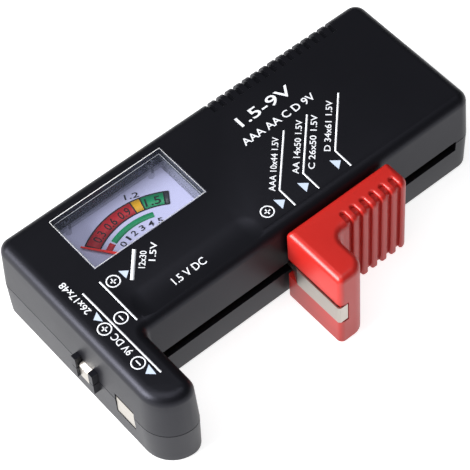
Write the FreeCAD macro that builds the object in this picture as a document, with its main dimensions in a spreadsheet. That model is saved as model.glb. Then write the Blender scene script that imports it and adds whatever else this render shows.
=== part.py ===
import FreeCAD, Part
import math
import os
import re
import Sketcher

V = FreeCAD.Vector
doc = FreeCAD.newDocument("battery_tester")

# ---------------------------------------------------------------- driving sizes, millimetres
# x runs along the body from the outer face of the arm end, y from the slot side, z from the back
sheet = doc.addObject("Spreadsheet::Sheet", "Sizes")
SIZES = [
    ("case_length", 110), ("body_width", 41.5), ("arm_reach", 19.5), ("arm_width", 12),
    ("case_height", 25), ("parting_height", 11), ("corner_radius", 3.8), ("nook_radius", 1.2),
    ("arm_outer_radius", 8), ("arm_inner_radius", 4), ("wall", 2), ("front_draft", 2.5),
    ("rear_draft", 1.5), ("seam_gap", 0.22),
    ("seam_depth", 0.5), ("top_rounding", 2.9), ("bottom_rounding", 0.8),
    ("window_left", 13), ("window_right", 45.4), ("window_low", 19.9), ("window_high", 37.4),
    ("trough_left", 17), ("trough_right", 44.5), ("trough_middle", 5.6), ("trough_depth", 0.75),
    ("trough_curve", 14), ("slot_left", 12.6), ("slot_right", 104.5), ("slot_low", 8.3),
    ("slot_high", 11.7), ("rib_first", 61.2), ("rib_pitch", 2.62), ("rib_count", 15),
    ("rib_groove", 1.35), ("rib_depth", 0.6),
    ("boss_radius", 2.6), ("screw_radius", 1.2), ("screw_head_radius", 2.1),
    ("screw_seat", 6), ("screw_tip", 17),
    ("nine_plus_middle", 7.6), ("nine_minus_middle", -5.4), ("nine_low", 6.1),
    ("nine_high", 13.3), ("ear_reach", 1.6), ("ear_width", 1.5),
    ("slider_front", 51.3), ("slider_length", 30.6), ("slider_low", 0.3), ("slider_high", 24.8),
    ("slider_depth", 7.7), ("slider_gap", 0.5), ("leg_width", 7.9), ("leg_reach", 19),
    ("leg_end_radius", 3.8), ("slider_rounding", 1.8), ("grip_first", 64.2),
    ("grip_pitch", 2.92), ("grip_count", 6), ("grip_groove", 1.15), ("grip_depth", 0.95),
    ("grip_rounding", 0.55), ("leaf_set_back", 1.3),
    ("leaf_thick", 0.4), ("leaf_low", 8.7), ("leaf_high", 14.3),
    ("pivot_along", 29.2), ("pivot_across", 13.1), ("dial_height", 18.5), ("dial_thick", 0.3),
    ("dial_left", 13.5), ("dial_right", 46.4), ("dial_low", 20.5), ("dial_top", 37.8),
    ("meter_left", 12.2), ("meter_right", 47.6), ("meter_low", 6.3), ("meter_top", 38.8),
    ("meter_floor", 4.2), ("meter_rim", 14), ("cover_shoulder", 22.9),
    ("pointer_rest", 126.6), ("pointer_reach", 21.5), ("pointer_height", 19.2),
    ("wire_radius", 0.45),
]
for row, (alias, value) in enumerate(SIZES, start=1):
    sheet.set("A%d" % row, alias)
    sheet.set("B%d" % row, str(value))
    sheet.setAlias("B%d" % row, alias)
doc.recompute()


def size(alias):
    return float(sheet.get(alias))


def bind(obj, **links):
    """Bind properties to the sheet; two underscores stand for a dot."""
    for prop, text in links.items():
        text = re.sub(r"\b([a-z]\w+)\b", r"Sizes.\1", str(text))
        obj.setExpression(prop.replace("__", "."), text)
    return obj


MIDDLE_ALONG = "(case_length - ear_reach) / 2"
MIDDLE_ACROSS = "(body_width - arm_reach) / 2"


def finish(obj, label):
    """Name a finished sub-part and put it in the shared frame: origin under the middle."""
    obj.Label = label
    return bind(obj, Placement__Base__x="-" + MIDDLE_ALONG, Placement__Base__y="-" + MIDDLE_ACROSS)


def finish_moving(obj, label, height="0"):
    """The same for a piece drawn about the pointer's pivot and turned to the pointer's rest."""
    obj.Label = label
    obj.Placement = FreeCAD.Placement(V(0, 0, 0), FreeCAD.Rotation(V(0, 0, 1), 1))
    return bind(obj, Placement__Base__x="pivot_along - " + MIDDLE_ALONG,
                Placement__Base__y="pivot_across - " + MIDDLE_ACROSS, Placement__Base__z=height,
                Placement__Rotation__Angle="pointer_rest - 90")


# ---------------------------------------------------------------- building helpers
def box(x0, x1, y0, y1, z0, z1):
    """Box between sheet expressions."""
    b = doc.addObject("Part::Box", "Block")
    return bind(b, Placement__Base__x=x0, Placement__Base__y=y0, Placement__Base__z=z0,
                Length="(%s) - (%s)" % (x1, x0), Width="(%s) - (%s)" % (y1, y0),
                Height="(%s) - (%s)" % (z1, z0))


def rod(x, y, z0, z1, radius):
    """Upright cylinder."""
    c = doc.addObject("Part::Cylinder", "Rod")
    return bind(c, Placement__Base__x=x, Placement__Base__y=y, Placement__Base__z=z0,
                Radius=radius, Height="(%s) - (%s)" % (z1, z0))


def lying_rod(x, y, z, length, radius, axis):
    c = doc.addObject("Part::Cylinder", "Rod")
    turn = FreeCAD.Rotation(V(0, 1, 0), 90) if axis == "x" else FreeCAD.Rotation(V(1, 0, 0), -90)
    c.Placement = FreeCAD.Placement(V(0, 0, 0), turn)
    return bind(c, Placement__Base__x=x, Placement__Base__y=y, Placement__Base__z=z,
                Radius=radius, Height=length)


def ball(x, y, z, radius):
    b = doc.addObject("Part::Sphere", "Ball")
    return bind(b, Placement__Base__x=x, Placement__Base__y=y, Placement__Base__z=z,
                Radius=radius)


def fuse(*shapes):
    f = doc.addObject("Part::MultiFuse", "Joined")
    f.Shapes = list(shapes)
    f.Refine = True
    return f


def cut(base, *tools):
    c = doc.addObject("Part::Cut", "Cut")
    c.Base = base
    c.Tool = tools[0] if len(tools) == 1 else fuse(*tools)
    return c


def new_body(name):
    return doc.addObject("PartDesign::Body", name)


def add_sketch(body, plane="XY_Plane", offset=0.0):
    """Sketch on one of the body's own planes, lifted along the plane's normal."""
    sketch = body.newObject("Sketcher::SketchObject", "Sketch")
    origin = [f for f in body.Origin.OriginFeatures if f.Role == plane][0]
    sketch.AttachmentSupport = [(origin, "")]
    sketch.MapMode = "FlatFace"
    sketch.AttachmentOffset = FreeCAD.Placement(V(0, 0, offset), FreeCAD.Rotation())
    return sketch


def draw(sketch, corners):
    """Closed outline of (x, y, radius) corners; a radius of 0 leaves the corner sharp."""
    runs = []
    count = len(corners)
    for i, (x, y, radius) in enumerate(corners):
        here = V(x, y, 0)
        if radius <= 0:
            runs.append((here, here, None))
            continue
        before = V(*corners[i - 1][:2], 0) - here
        after = V(*corners[(i + 1) % count][:2], 0) - here
        before.normalize()
        after.normalize()
        half = before.getAngle(after) / 2
        reach = radius / math.tan(half)
        middle = before + after
        middle.normalize()
        centre = here + middle * (radius / math.sin(half))
        runs.append((here + before * reach, here + after * reach,
                     centre - middle * radius))
    for i, (start, end, crest) in enumerate(runs):
        if crest is not None:
            sketch.addGeometry(Part.Arc(start, crest, end), False)
        following = runs[(i + 1) % count][0]
        if (following - end).Length > 1e-6:
            sketch.addGeometry(Part.LineSegment(end, following), False)
    return sketch


def pad(body, sketch, length, **links):
    p = body.newObject("PartDesign::Pad", "Pad")
    p.Profile = sketch
    bind(p, Length=length, **links)
    sketch.Visibility = False
    return p


def pocket(body, sketch, length, **links):
    p = body.newObject("PartDesign::Pocket", "Pocket")
    p.Profile = sketch
    bind(p, Length=length, **links)
    return p


def strip(points, thick):
    """Corners of a bent strip's edge-on outline, the strip lying to the left of its path."""
    path = [V(x, y, 0) for x, y in points]
    other = []
    for i, here in enumerate(path):
        legs = []
        if i > 0:
            legs.append((here - path[i - 1]).normalize())
        if i < len(path) - 1:
            legs.append((path[i + 1] - here).normalize())
        sides = [V(-leg.y, leg.x, 0) for leg in legs]
        middle = sum(sides[1:], sides[0])
        middle.normalize()
        other.append(here + middle * (thick / middle.dot(sides[0])))
    return [(p.x, p.y, 0) for p in path] + [(p.x, p.y, 0) for p in reversed(other)]


def strip_body(name, plane, points, thick, start, width):
    """Bent sheet-metal strip: its edge-on outline padded to the strip's width."""
    body = new_body(name)
    sketch = draw(add_sketch(body, plane, start), strip(points, thick))
    pad(body, sketch, width)
    return body


# ---------------------------------------------------------------- case shells
def outline(inset):
    """Outline of the L-shaped case at the parting plane, moved in by inset."""
    long, deep, reach, arm = (size(a) for a in ("case_length", "body_width", "arm_reach",
                                                "arm_width"))
    corner = size("corner_radius") - inset
    return [(inset, deep - inset, corner), (inset, inset - reach, size("arm_outer_radius") - inset),
            (arm - inset, inset - reach, size("arm_inner_radius") - inset),
            (arm - inset, inset, size("nook_radius") + inset),
            (long - inset, inset, corner), (long - inset, deep - inset, corner)]


def edges_at(shape, height):
    names = []
    for i, edge in enumerate(shape.Edges, start=1):
        box_ = edge.BoundBox
        if abs(box_.ZMin - height) < 1e-4 and abs(box_.ZMax - height) < 1e-4:
            names.append("Edge%d" % i)
    return names


def shell(name, front):
    """Half shell: drafted outline, rounded rim, hollowed from the parting plane."""
    body = new_body(name)
    parting, top = size("parting_height"), size("case_height")
    skin = pad(body, draw(add_sketch(body, "XY_Plane", parting), outline(0)),
               "case_height - parting_height" if front else "parting_height",
               TaperAngle="-front_draft" if front else "-rear_draft")
    skin.Reversed = not front
    doc.recompute()
    rim = body.newObject("PartDesign::Fillet", "Rim")
    rim.Base = (skin, edges_at(skin.Shape, top if front else 0))
    bind(rim, Radius="top_rounding" if front else "bottom_rounding")
    doc.recompute()
    hollow = pocket(body, draw(add_sketch(body, "XY_Plane", parting), outline(size("wall"))),
                    "case_height - parting_height - wall" if front else "parting_height - wall",
                    TaperAngle="-front_draft" if front else "-rear_draft")
    hollow.Reversed = front
    doc.recompute()
    return body


SCREWS = [(6.0, -13.4), (6.0, 35.4), (103.0, 35.4)]


def contact_openings(z0, z1):
    """Wall openings for the two nine-volt contacts and the arm contact's tab."""
    tools = []
    for middle, half in (("nine_plus_middle", 2.3), ("nine_minus_middle", 3.35)):
        tools.append(box("-1", "wall + 1.2", "%s - %g" % (middle, half),
                         "%s + %g" % (middle, half), z0, z1))
    return tools


def ears(z0, z1):
    """Two ribs that guard the raised nine-volt plus contact."""
    found = []
    for side in (-1, 1):
        inner = "nine_plus_middle + %g" % (side * 2.3)
        outer = "nine_plus_middle + %g + %d * ear_width" % (side * 2.3, side)
        low, high = (outer, inner) if side < 0 else (inner, outer)
        found.append(box("-ear_reach", "wall", low, high, z0, z1))
    return found


def grip_grooves():
    """Grooves across the far edge that leave the finger ribs standing."""
    body = new_body("grip_grooves")
    side, top, deep = size("body_width"), size("case_height"), size("rib_depth")
    lean = math.tan(math.radians(size("front_draft")))
    rim = size("top_rounding")
    shoulder = top - rim
    face = side - lean * (shoulder - size("parting_height")) - deep
    profile = [(side + 1, size("parting_height"), 0),
               (face + lean * (shoulder - size("parting_height")), size("parting_height"), 0),
               (face - 0.12, top - deep, rim - deep), (side - rim - 1.6, top - deep, 0),
               (side - rim - 2.6, top + 0.5, 0), (side + 1, top + 0.5, 0)]
    groove = pad(body, draw(add_sketch(body, "YZ_Plane", size("rib_first")), profile),
                 "rib_groove")
    doc.recompute()
    row = body.newObject("PartDesign::LinearPattern", "Row")
    row.Originals = [groove]
    row.Direction = ([f for f in body.Origin.OriginFeatures if f.Role == "X_Axis"][0], [""])
    row.Length = size("rib_pitch") * (size("rib_count") - 1)
    row.Occurrences = int(size("rib_count"))
    body.Tip = row
    doc.recompute()
    return body


def seam_ring():
    """Narrow shadow gap where the two halves meet."""
    inside = new_body("inside_seam")
    sketch = draw(add_sketch(inside, "XY_Plane", size("parting_height") - 1),
                  outline(size("seam_depth")))
    pad(inside, sketch, "seam_gap + 2")
    return cut(box("-5", "case_length + 5", "-arm_reach - 5", "body_width + 5",
                   "parting_height - 0.5", "parting_height + seam_gap"), inside)


def make_front_case():
    skin = shell("front_shell", True)
    bosses = [rod(x, y, "parting_height + 0.2", "case_height - wall + 0.4", "boss_radius")
              for x, y in SCREWS]
    holes = [rod(x, y, "parting_height - 1", "screw_tip + 1", "screw_radius") for x, y in SCREWS]
    window = box("window_left", "window_right", "window_low", "window_high",
                 "case_height - wall - 1", "case_height + 1")
    slot = box("slot_left", "slot_right", "-1", "wall + 1", "parting_height - 1", "slot_high")
    lift = "case_height - trough_depth + trough_curve"
    trough = [lying_rod("trough_left", "trough_middle", lift, "trough_right - trough_left",
                        "trough_curve", "x"),
              ball("trough_left", "trough_middle", lift, "trough_curve"),
              ball("trough_right", "trough_middle", lift, "trough_curve")]
    tab = box("arm_width - wall - 1", "arm_width + 1", "-9.6", "-6.4", "parting_height - 1", "12")
    solid = cut(fuse(skin, *bosses, *ears("parting_height", "14.6")),
                *holes, window, slot, *trough, tab, grip_grooves(), seam_ring(),
                *contact_openings("parting_height - 1", "nine_high"))
    finish(solid, "front_case")


def make_rear_case():
    skin = shell("rear_shell", False)
    bosses = [rod(x, y, "wall - 0.4", "parting_height", "boss_radius + 0.2") for x, y in SCREWS]
    bores = [rod(x, y, "-1", "screw_seat", "screw_head_radius + 0.2") for x, y in SCREWS]
    holes = [rod(x, y, "-1", "parting_height + 1", "screw_radius + 0.15") for x, y in SCREWS]
    slot = box("slot_left", "slot_right", "-1", "wall + 1", "slot_low", "parting_height + 1")
    tab = box("arm_width - wall - 1", "arm_width + 1", "-9.6", "-6.4", "10", "parting_height + 1")
    fences = [box("%g - 1" % x, "%g + 1" % x, "5.35", "6.15", "wall - 0.4", "10")
              for x in (20, 60, 97)]
    posts = [rod(x, 23, "wall - 0.4", "4", "2") for x in (57.5, 84.5)]
    pilots = [rod(x, 23, "wall", "4.5", "0.8") for x in (57.5, 84.5)]
    pads = [box("%g - 3" % x, "%g + 3" % x, "29", "35", "wall - 0.4", "meter_floor")
            for x in (18, 41)]
    solid = cut(fuse(skin, *bosses, *fences, *posts, *pads, *ears("7.6", "parting_height")),
                *bores, *holes, *pilots, slot, tab,
                *contact_openings("nine_low", "parting_height + 1"))
    finish(solid, "rear_case")


def make_case_screws():
    screws = []
    for x, y in SCREWS:
        head = rod(x, y, "screw_seat - 1.6", "screw_seat", "screw_head_radius")
        shank = rod(x, y, "screw_seat", "screw_tip", "screw_radius")
        cross = [box("%g - 1.1" % x, "%g + 1.1" % x, "%g - 0.25" % y, "%g + 0.25" % y,
                     "screw_seat - 2", "screw_seat - 0.8"),
                 box("%g - 0.25" % x, "%g + 0.25" % x, "%g - 1.1" % y, "%g + 1.1" % y,
                     "screw_seat - 2", "screw_seat - 0.8")]
        screws.append(cut(fuse(head, shank), *cross))
    finish(fuse(*screws), "case_screws")


# ---------------------------------------------------------------- contacts on the case
def make_case_contacts():
    plus = strip_body("nine_volt_plus", "XZ_Plane",
                      [(3.4, 2.9), (3.4, 7.0), (0.3, 7.0), (-0.9, 7.9), (-0.9, 12.0), (0.3, 12.7),
                       (2.6, 12.7)],
                      -0.35, 0, "4.3")
    finish_strip(plus, "nine_plus_middle + 2.15")
    minus = strip_body("nine_volt_minus", "XZ_Plane",
                       [(3.4, 2.9), (3.4, 6.2), (0.25, 6.2), (0.25, 12.2), (2.6, 12.2)],
                       -0.35, 0, "6.4")
    finish_strip(minus, "nine_minus_middle + 3.2")
    arm = new_body("arm_leaf")
    x = size("arm_width")
    pad(arm, draw(add_sketch(arm, "XY_Plane", 10.3),
                  [(8.4, -9.3, 0), (x + 0.06, -9.3, 0), (x + 0.06, -15.4, 0), (x + 0.3, -15.7, 0),
                   (x + 0.7, -15.2, 0), (x + 0.95, -9, 2), (x + 0.7, -2.6, 0), (x + 0.3, -2.1, 0),
                   (x + 0.06, -2.4, 0), (x + 0.06, -6.7, 0), (8.4, -6.7, 0)]), "1.4")
    plate = box("arm_width + 0.06", "arm_width + 0.5", "-15.4", "-2.4", "8.2", "14.6")
    leg = box("8.4", "8.8", "-9.3", "-6.7", "2.9", "11.7")
    finish(fuse(arm, plate, leg), "arm_contact")


def finish_strip(body, start):
    """An XZ outline pads towards -Y, so the strip is set by its far side."""
    body.Label = body.Name
    bind(body, Placement__Base__x="-" + MIDDLE_ALONG,
         Placement__Base__y="%s - %s" % (start, MIDDLE_ACROSS))


def make_contact_rail():
    blade = box("slot_left + 1", "slot_right - 0.6", "4.8", "5.3", "wall + 0.05", "13.4")
    tab = box("91.4", "92.6", "4.8", "5.8", "wall + 0.05", "4")
    finish(fuse(blade, tab), "contact_rail")


# ---------------------------------------------------------------- slider
def grip_channels(outer, high):
    """The grooves between the thumb ribs: round-ended slots, kept where they are grip_depth deep."""
    slots = []
    for i in range(int(size("grip_count"))):
        along = "grip_first + %d * grip_pitch" % i
        slots.append(box(along + " - grip_groove / 2", along + " + grip_groove / 2",
                         "-slider_gap - slider_depth - 1", "-slider_gap - 4.9", "-1", "26"))
        slots.append(rod(along, "-slider_gap - 4.9", "-1", "26", "grip_groove / 2"))
    deep, low = size("grip_depth"), size("slider_low")
    skin = new_body("grip_skin")
    pad(skin, draw(add_sketch(skin, "YZ_Plane", size("grip_first") - 2), [
        (outer - 1, low - 1, 0), (outer + deep, low - 1, 0), (outer + deep, high - deep, 1.2),
        (outer + 6, high - deep, 0), (outer + 6, high + 1, 0), (outer - 1, high + 1, 0)]),
        "grip_pitch * grip_count + 4")
    channels = doc.addObject("Part::Common", "Channels")
    channels.Base = fuse(*slots)
    channels.Tool = skin
    return channels


def groove_rims(shape, outer, high):
    """Outer edges of the grip grooves, the ones a thumb would feel."""
    found = []
    reach = size("grip_groove") / 2 + 0.01
    first, pitch, count = size("grip_first"), size("grip_pitch"), int(size("grip_count"))
    for i, edge in enumerate(shape.Edges, start=1):
        b = edge.BoundBox
        inside = any(b.XMin > first + k * pitch - reach and b.XMax < first + k * pitch + reach
                     for k in range(count))
        on_face = abs(b.YMin - outer) < 1e-3 and b.ZLength > 1
        on_top = abs(b.ZMax - high) < 1e-3 and b.YMax < outer + 6
        if inside and (on_face or on_top):
            found.append("Edge%d" % i)
    return found


def make_slider_grip():
    body = new_body("slider_block")
    front, rear = size("slider_front"), size("slider_front") + size("slider_length")
    inner, outer = -size("slider_gap"), -size("slider_gap") - size("slider_depth")
    leg = front + size("leg_width")
    low, high = size("slider_low"), size("slider_high")
    block = pad(body, draw(add_sketch(body, "XY_Plane", low), [
        (front, inner, 0.7), (rear, inner, 0.7), (rear, outer, 2.2), (leg, outer, 3),
        (leg, -size("leg_reach"), size("leg_end_radius")), (front, -size("leg_reach"), 1.4)]),
        "slider_high - slider_low")
    doc.recompute()
    rim = body.newObject("PartDesign::Fillet", "Rim")
    rim.Base = (block, edges_at(block.Shape, high))
    bind(rim, Radius="slider_rounding")
    doc.recompute()
    grooved = cut(body, grip_channels(outer, high))
    doc.recompute()
    ribs = doc.addObject("Part::Fillet", "Ribs")
    ribs.Base = grooved
    radius = size("grip_rounding")
    ribs.Edges = [(int(name[4:]), radius, radius)
                  for name in groove_rims(grooved.Shape, outer, high)]
    doc.recompute()
    tongue = box("slider_front + leaf_set_back + 0.8", "slider_front + slider_length - 1",
                 "-slider_gap - 0.5", "wall + 0.35", "slot_low + 0.45", "slot_high - 0.45")
    recess = box("slider_front - 1", "slider_front + 0.45", "-leg_reach - 1", "0",
                 "leaf_low - 0.5", "leaf_high + 0.6")
    pit = box("slider_front - 1", "slider_front + leaf_set_back + 0.7", "-4.9", "0",
              "leaf_low - 0.5", "leaf_high + 0.6")
    hook = box("slider_front - 1", "slider_front + 2.4", "-leg_reach - 1", "-leg_reach + 0.5",
               "leaf_low - 0.5", "leaf_high + 0.6")
    tail = box("slider_front + leaf_set_back - 0.3", "slider_front + leaf_set_back + 0.7", "-1.7",
               "1", "slot_low + 0.9", "slot_high - 0.9")
    pilots = [lying_rod("slider_front + %g" % x, "-1", "(slot_low + slot_high) / 2",
                        "wall + 2", "0.7", "y") for x in (5, 25)]
    hollows = [box("slider_front + 4.5", "slider_front + slider_length - 2", "-slider_gap - 5.2",
                   "-slider_gap - 1.8", "-1", "slider_high - 2.4"),
               box("slider_front + 2.2", "slider_front + leg_width - 2", "-leg_reach + 4",
                   "-slider_gap - 5.4", "-1", "leaf_low - 1.4")]
    finish(cut(fuse(ribs, tongue), recess, pit, hook, tail, *pilots, *hollows), "slider_grip")


def make_slider_inside():
    keeper = box("slider_front + leaf_set_back + 0.8", "slider_front + slider_length - 1",
                 "wall + 0.35", "3.5", "5.5", "14.5")
    holes = [lying_rod("slider_front + %g" % x, "0", "(slot_low + slot_high) / 2",
                       "wall + 4", "0.85", "y") for x in (5, 25)]
    finish(cut(keeper, *holes), "slider_keeper")
    screws = []
    for x in (5, 25):
        along, height = "slider_front + %g" % x, "(slot_low + slot_high) / 2"
        near = "3.5" if x == 5 else "3.8"
        head = lying_rod(along, near, height, "0.7", "1.4", "y")
        shank = lying_rod(along, "-0.8", height, near + " + 0.8", "0.7", "y")
        screws.append(cut(fuse(head, shank),
                          box(along + " - 1.5", along + " + 1.5", near + " + 0.4", "5",
                              height + " - 0.2", height + " + 0.2")))
    finish(fuse(*screws), "slider_screws")
    front = size("slider_front")
    wiper = strip_body("wiper", "XY_Plane",
                       [(front + 28, 3.5), (front + 21, 3.5), (front + 13.5, 4.44),
                        (front + 9, 3.9)], -0.3, 7.6, "4.8")
    hole = lying_rod("slider_front + 25", "0", "(slot_low + slot_high) / 2", "6", "0.8", "y")
    finish(cut(wiper, hole), "slider_wiper")


def make_slider_contact():
    front, reach, back = size("slider_front"), size("leg_reach"), size("leaf_set_back")
    leaf = strip_body("leaf", "XY_Plane",
                      [(front + back, -0.9), (front - 0.35, -4.4), (front - 0.35, -reach + 0.6),
                       (front + 0.15, -reach + 0.1), (front + 2.2, -reach + 0.1)],
                      size("leaf_thick"), size("leaf_low"), "leaf_high - leaf_low")
    tail = box("slider_front + leaf_set_back", "slider_front + leaf_set_back + leaf_thick",
               "-1.2", "3.3", "slot_low + 1.1", "slot_high - 1.1")
    finish(fuse(leaf, tail), "slider_contact")


# ---------------------------------------------------------------- meter
def make_meter_case():
    tray = cut(box("meter_left", "meter_right", "meter_low", "meter_top", "meter_floor",
                   "meter_rim"),
               box("meter_left + 1", "meter_right - 1", "meter_low + 1", "meter_top - 1",
                   "meter_floor + 1", "meter_rim + 1"))
    posts = [rod(x, 30, "meter_floor + 0.5", "dial_height - dial_thick", "1.6")
             for x in (20.5, 42.5)]
    pins = [rod(44.5, y, "meter_floor - 1", "meter_floor + 2", "0.8") for y in (10.5, 17)]
    finish(cut(fuse(tray, *posts), *pins), "meter_base")
    finish(fuse(*[rod(44.5, y, "meter_floor - 1.6", "meter_floor + 1.6", "0.8")
                  for y in (10.5, 17)]), "meter_terminals")
    lid = cut(box("meter_left", "meter_right", "meter_low", "meter_top", "meter_rim",
                  "cover_shoulder"),
              box("meter_left + 0.9", "meter_right - 0.9", "meter_low + 0.9", "meter_top - 0.9",
                  "meter_rim - 1", "cover_shoulder - 1.1"))
    skirt = box("window_left + 0.15", "window_right - 0.15", "window_low + 0.15",
                "window_high - 0.15", "dial_height", "case_height - 0.15")
    well = box("window_left + 0.8", "window_right - 0.8", "window_low + 0.8",
               "window_high - 0.8", "dial_height - 1", "case_height - 1.25")
    sweep = box("window_left + 0.8", "window_right - 0.8", "window_low - 1", "window_low + 2",
                "dial_height - 1", "dial_height + 2.1")
    pegs = [rod("(window_left + window_right) / 2 %s 12.1" % side, "window_high - 1.4",
                "dial_height", "case_height - 1", "0.8") for side in "-+"]
    finish(fuse(cut(fuse(lid, skirt), well, sweep), *pegs), "meter_cover")
    plate = box("dial_left", "dial_right", "dial_low", "dial_top", "dial_height - dial_thick",
                "dial_height")
    finish(cut(plate, rod("pivot_along", "pivot_across", "10", "20", "8.2")), "dial_plate")


def make_meter_magnet():
    low = "meter_floor + 1"
    ring = cut(rod("0", "0", low + " + 0.5", "13.2", "5.75"), rod("0", "0", "0", "20", "4.75"))
    spokes = [box("%g" % x, "%g" % (x + 1.9), "-1", "1", "8.5", "11.5") for x in (-4.9, 3)]
    fixed(cut(fuse(ring, *spokes), rod("0", "0", "0", "20", "3.1")), "meter_yoke")
    fixed(rod("0", "0", "7.4", "12.2", "3.1"), "meter_magnet")
    legs = [box("%g" % x, "%g" % (x + 1), "-1.5", "1.5", "13.2", "20.3") for x in (-5.6, 4.6)]
    bar = box("-5.6", "5.6", "-1.5", "1.5", "20.3", "20.9")
    fixed(cut(fuse(bar, *legs), rod("0", "0", "0", "22", "1.1")), "meter_bridge")
    fixed(cut(box("-5.6", "5.6", "-1.5", "1.5", low, low + " + 0.5"),
              rod("0", "0", "0", "22", "1.1")), "meter_foot")
    fixed(cut(rod("0", "0", "20.1", "21.5", "1.1"), rod("0", "0", "19", "20.8", "0.45"),
              box("-1.2", "1.2", "-0.2", "0.2", "21.2", "22")), "upper_bearing")
    fixed(cut(rod("0", "0", low, "6.2", "1.1"), rod("0", "0", "5.5", "7", "0.45")),
          "lower_bearing")


def fixed(obj, label):
    """Meter piece that stands still, drawn about the pivot."""
    obj.Label = label
    return bind(obj, Placement__Base__x="pivot_along - " + MIDDLE_ALONG,
                Placement__Base__y="pivot_across - " + MIDDLE_ACROSS)


def loop(half, low, high, wall_, deep):
    return cut(box("-%g" % deep, "%g" % deep, "-%g" % half, "%g" % half, "%g" % low, "%g" % high),
               box("-9", "9", "-%g" % (half - wall_), "%g" % (half - wall_),
                   "%g" % (low + wall_), "%g" % (high - wall_)))


def make_moving_coil():
    finish_moving(loop(3.8, 6.85, 12.9, 0.4, 1.2), "coil_frame")
    finish_moving(loop(4.2, 6.5, 13.25, 0.35, 1), "coil_winding")
    finish_moving(fuse(rod("0", "0", "13.25", "20.6", "0.4"), rod("0", "0", "5.75", "6.5", "0.4")),
                  "pointer_pivots")
    for label, height in (("hairspring_lower", 14.4), ("hairspring_upper", 16.8)):
        finish_moving(hairspring(label), label, str(height))


def hairspring(name):
    """Flat spiral ribbon round the shaft, three turns and a half."""
    body = new_body(name + "_ribbon")
    sketch = add_sketch(body)
    thick, first, step, turns = 0.08, 0.42, 0.42, 3.5
    for offset in (0.0, thick):
        points = []
        for k in range(int(turns * 24) + 1):
            angle = 2 * math.pi * k / 24
            radius = first + offset + step * angle / (2 * math.pi)
            points.append(V(radius * math.cos(angle), radius * math.sin(angle), 0))
        curve = Part.BSplineCurve()
        curve.interpolate(points)
        sketch.addGeometry(curve, False)
        ends = points if offset == 0.0 else ends + points
    count = int(turns * 24) + 1
    sketch.addGeometry(Part.LineSegment(ends[0], ends[count]), False)
    sketch.addGeometry(Part.LineSegment(ends[count - 1], ends[-1]), False)
    pad(body, sketch, "0.35")
    return body


def make_pointer():
    body = new_body("pointer_blade")
    reach = size("pointer_reach")
    pad(body, draw(add_sketch(body, "XY_Plane", 0), [
        (-0.45, 0, 0), (-0.25, reach - 3, 0), (-0.18, reach, 0), (0.18, reach, 0),
        (0.25, reach - 3, 0), (0.45, 0, 0), (0.45, -4.6, 0), (-0.45, -4.6, 0)]), "0.3")
    hub = rod("0", "0", "0", "0.3", "1.3")
    finish_moving(cut(fuse(body, hub), rod("0", "0", "-1", "1", "0.4")), "pointer",
                  "pointer_height")
    weight = cut(rod("0", "-3.6", "-0.6", "0.9", "0.9"), box("-0.5", "0.5", "-6", "0", "0", "0.3"))
    finish_moving(weight, "balance_weight", "pointer_height")


# ---------------------------------------------------------------- circuit
def make_circuit():
    board = cut(box("54", "88", "16", "30", "4", "5.2"),
                *[rod(x, 23, "3", "6", "0.9") for x in (57.5, 84.5)])
    finish(board, "terminal_board")
    finish(fuse(*[fuse(rod(x, 23, "2.4", "5.2", "0.8"), rod(x, 23, "5.2", "6.2", "1.6"))
                  for x in (57.5, 84.5)]), "board_screws")
    middle = 71
    for label, y, radius, long in (("cell_load_resistor", 19, 1.6, 11),
                                   ("block_load_resistor", 23, 1.6, 11),
                                   ("meter_resistor", 27, 1.15, 6.4)):
        barrel = lying_rod("%g" % (middle - long / 2), "%g" % y, "7.2", "%g" % long,
                           "%g" % (radius * 0.88), "x")
        caps = [lying_rod("%g" % x, "%g" % y, "7.2", "2", "%g" % radius, "x")
                for x in (middle - long / 2 - 0.6, middle + long / 2 - 1.4)]
        lead = lying_rod("62.5", "%g" % y, "7.2", "17", "0.28", "x")
        drops = [rod("%g" % x, "%g" % y, "5.2", "7.7", "0.38") for x in (62.5, 79.5)]
        finish(fuse(barrel, *caps, lead, *drops), label)


def make_wire(label, points, height, bend=2.0):
    """Insulated wire along a level route with rounded bends."""
    path = doc.addObject("Sketcher::SketchObject", label + "_route")
    path.Placement = FreeCAD.Placement(V(0, 0, height), FreeCAD.Rotation())
    ends = [V(x, y, 0) for x, y in points]
    start = ends[0]
    for i in range(1, len(ends)):
        if i == len(ends) - 1:
            path.addGeometry(Part.LineSegment(start, ends[i]), False)
            break
        before = (ends[i - 1] - ends[i]).normalize()
        after = (ends[i + 1] - ends[i]).normalize()
        half = before.getAngle(after) / 2
        middle = (before + after).normalize()
        reach = bend / math.tan(half)
        crest = ends[i] + middle * (bend / math.sin(half) - bend)
        path.addGeometry(Part.LineSegment(start, ends[i] + before * reach), False)
        path.addGeometry(Part.Arc(ends[i] + before * reach, crest, ends[i] + after * reach), False)
        start = ends[i] + after * reach
    doc.recompute()
    section = doc.addObject("Part::Circle", label + "_section")
    bind(section, Radius="wire_radius")
    way = (ends[1] - ends[0]).normalize()
    section.Placement = FreeCAD.Placement(V(points[0][0], points[0][1], height),
                                          FreeCAD.Rotation(V(0, 0, 1), way))
    sweep = doc.addObject("Part::Sweep", label + "_sweep")
    sweep.Sections = [section]
    sweep.Spine = (path, ["Edge%d" % (i + 1) for i in range(len(path.Geometry))])
    sweep.Solid = True
    doc.recompute()
    finish(sweep, label)


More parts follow.
